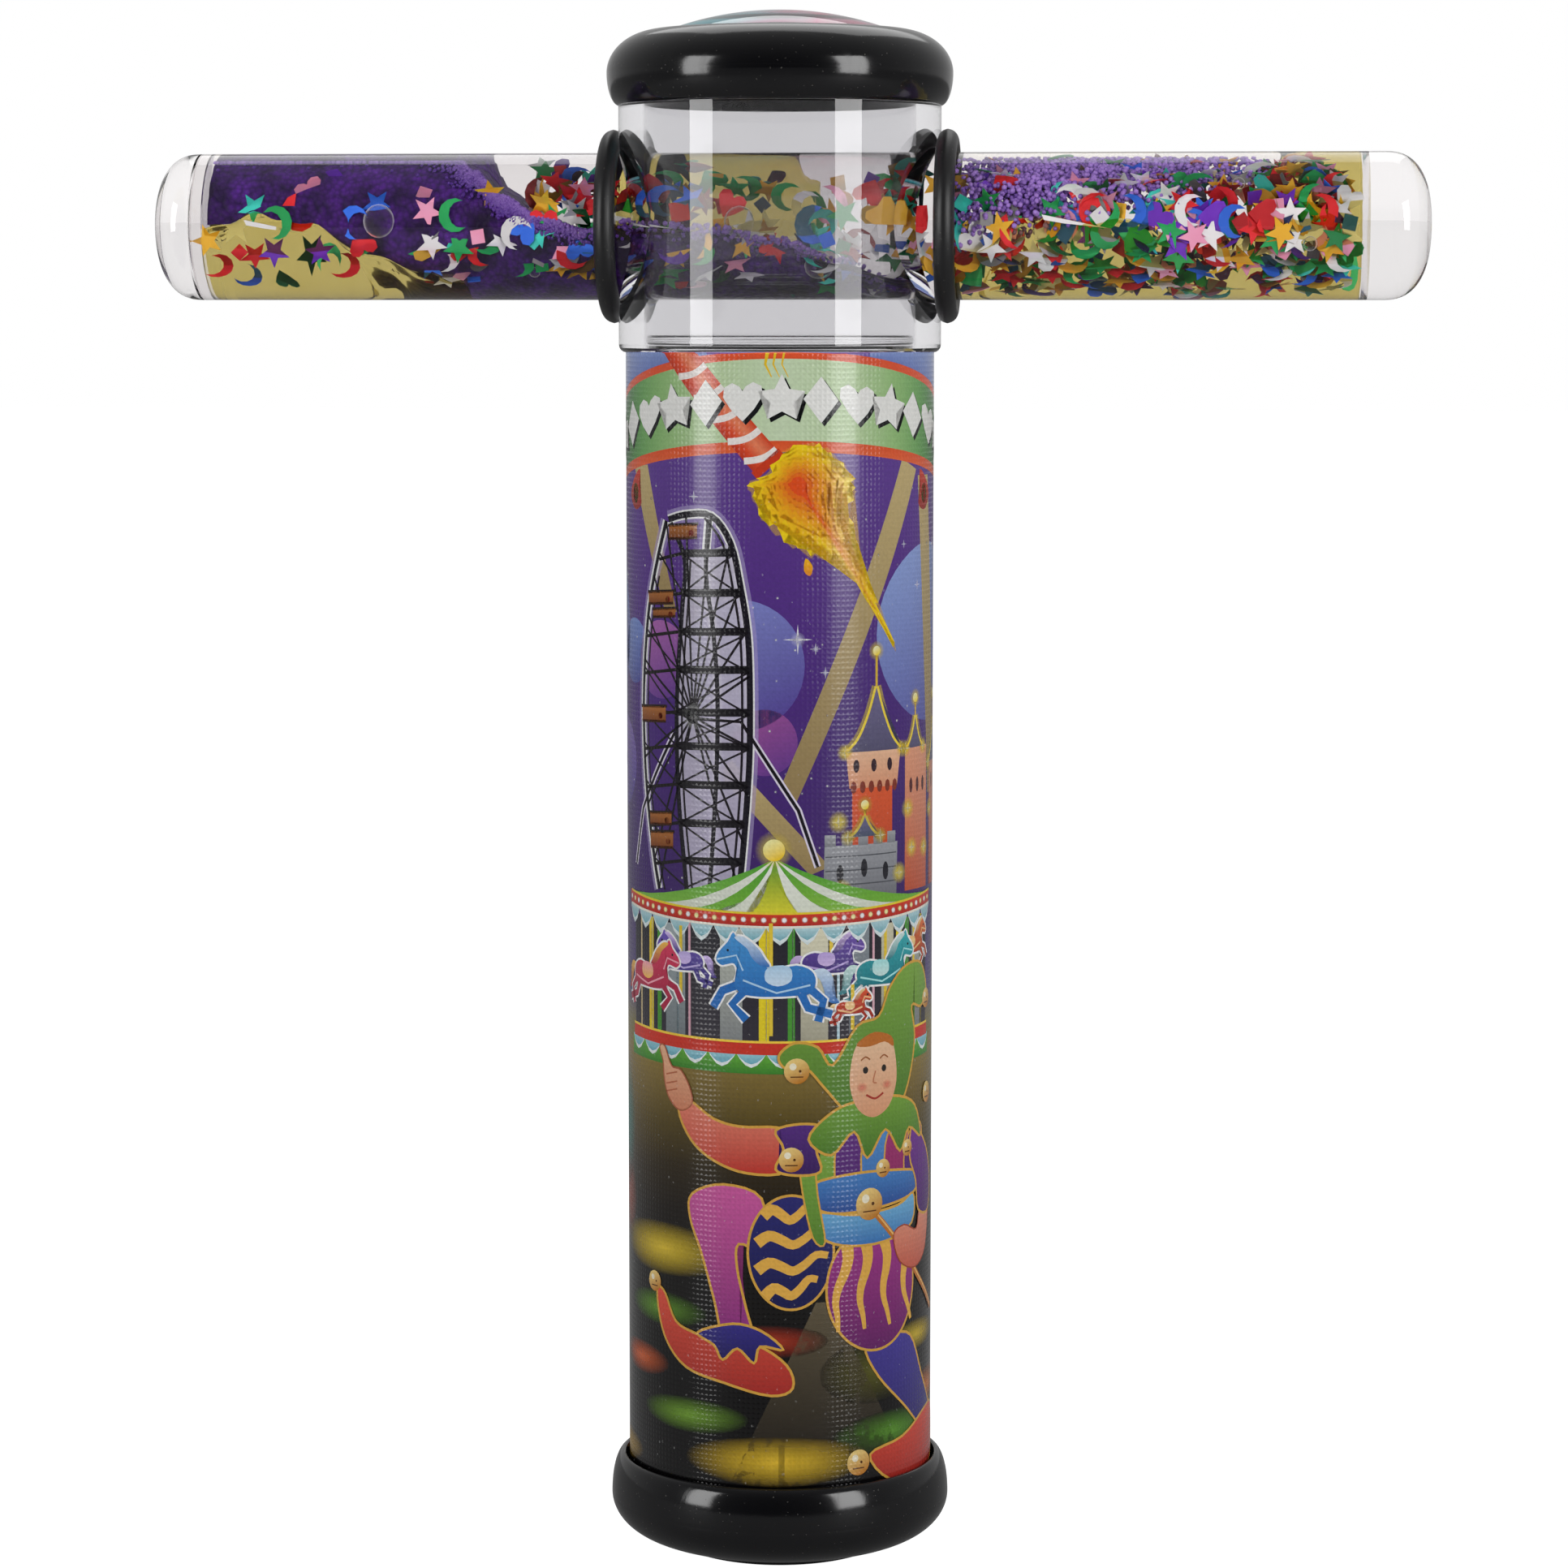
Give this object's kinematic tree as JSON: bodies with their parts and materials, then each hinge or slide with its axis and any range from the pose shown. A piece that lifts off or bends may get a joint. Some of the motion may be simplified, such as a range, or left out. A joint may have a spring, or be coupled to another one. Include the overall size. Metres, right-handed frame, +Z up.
{
  "type": "glitter wand kaleidoscope",
  "caption": "Handheld kaleidoscope: printed mirror tube with an eyepiece, a clear head and a sealed glitter wand that turns across it between rubber rings.",
  "frame": {"origin": "centre of the eyepiece cap's flat foot", "axes": "+Z up the barrel from the eyepiece to the dome, X along the wand, -Y towards the front of the printed label"},
  "size_m": [0.164, 0.0444, 0.2],
  "materials": {
    "black_plastic": "polished black moulding",
    "clear_plastic": "water-clear moulding",
    "card_tube": "grey wound card",
    "printed_label": "glossy printed paper with a canvas emboss",
    "black_card": "matt black card",
    "foam": "closed-cell foam",
    "mirror_strip": "silvered strip",
    "ring_rubber": "satin moulded rubber",
    "gold_liquid": "thick tinted liquid",
    "micro_beads": "packed micro-beads",
    "foil_silver": "metallised film",
    "foil_red": "metallised film",
    "foil_green": "metallised film",
    "foil_blue": "metallised film",
    "foil_gold": "metallised film",
    "foil_pink": "metallised film"
  },
  "bodies": {
    "housing": {"eyepiece_cap": "black_plastic", "eyepiece_lens": "clear_plastic", "eyepiece_baffle": "black_card", "body_tube": "card_tube", "label_wrap": "printed_label", "lower_spacer": "foam", "upper_spacer": "foam", "mirror_wrap": "black_card", "mirror_1": "mirror_strip", "mirror_2": "mirror_strip", "mirror_3": "mirror_strip", "object_window": "clear_plastic", "clear_head": "clear_plastic", "dome_lens": "clear_plastic", "top_cap": "black_plastic"},
    "wand": {"wand_tube": "clear_plastic", "wand_plug": "clear_plastic", "wand_liquid": "gold_liquid", "bead_bank": "micro_beads", "glitter_star_01": "foil_silver", "glitter_moon_02": "foil_red", "glitter_heart_03": "foil_green", "glitter_square_04": "foil_blue", "glitter_star_05": "foil_gold", "glitter_moon_06": "foil_pink", "glitter_heart_07": "foil_silver", "glitter_square_08": "foil_red", "glitter_star_09": "foil_green", "glitter_moon_10": "foil_blue", "glitter_heart_11": "foil_gold", "glitter_square_12": "foil_pink", "glitter_star_13": "foil_silver", "glitter_moon_14": "foil_red", "glitter_heart_15": "foil_green", "glitter_square_16": "foil_blue", "glitter_star_17": "foil_gold", "glitter_moon_18": "foil_pink"},
    "left_ring": {"left_o_ring": "ring_rubber"},
    "right_ring": {"right_o_ring": "ring_rubber"}
  },
  "joints": [
    {"name": "wand_spin", "type": "hinge", "parent": "housing", "child": "wand", "pos_m": [0.001, 0, 0.17255], "axis": [1, 0, 0], "continuous": true},
    {"name": "left_ring_slide", "type": "slide", "parent": "wand", "child": "left_ring", "axis": [-1, 0, 0], "range_m": [0, 0.051]},
    {"name": "right_ring_slide", "type": "slide", "parent": "wand", "child": "right_ring", "axis": [1, 0, 0], "range_m": [0, 0.053]}
  ]
}
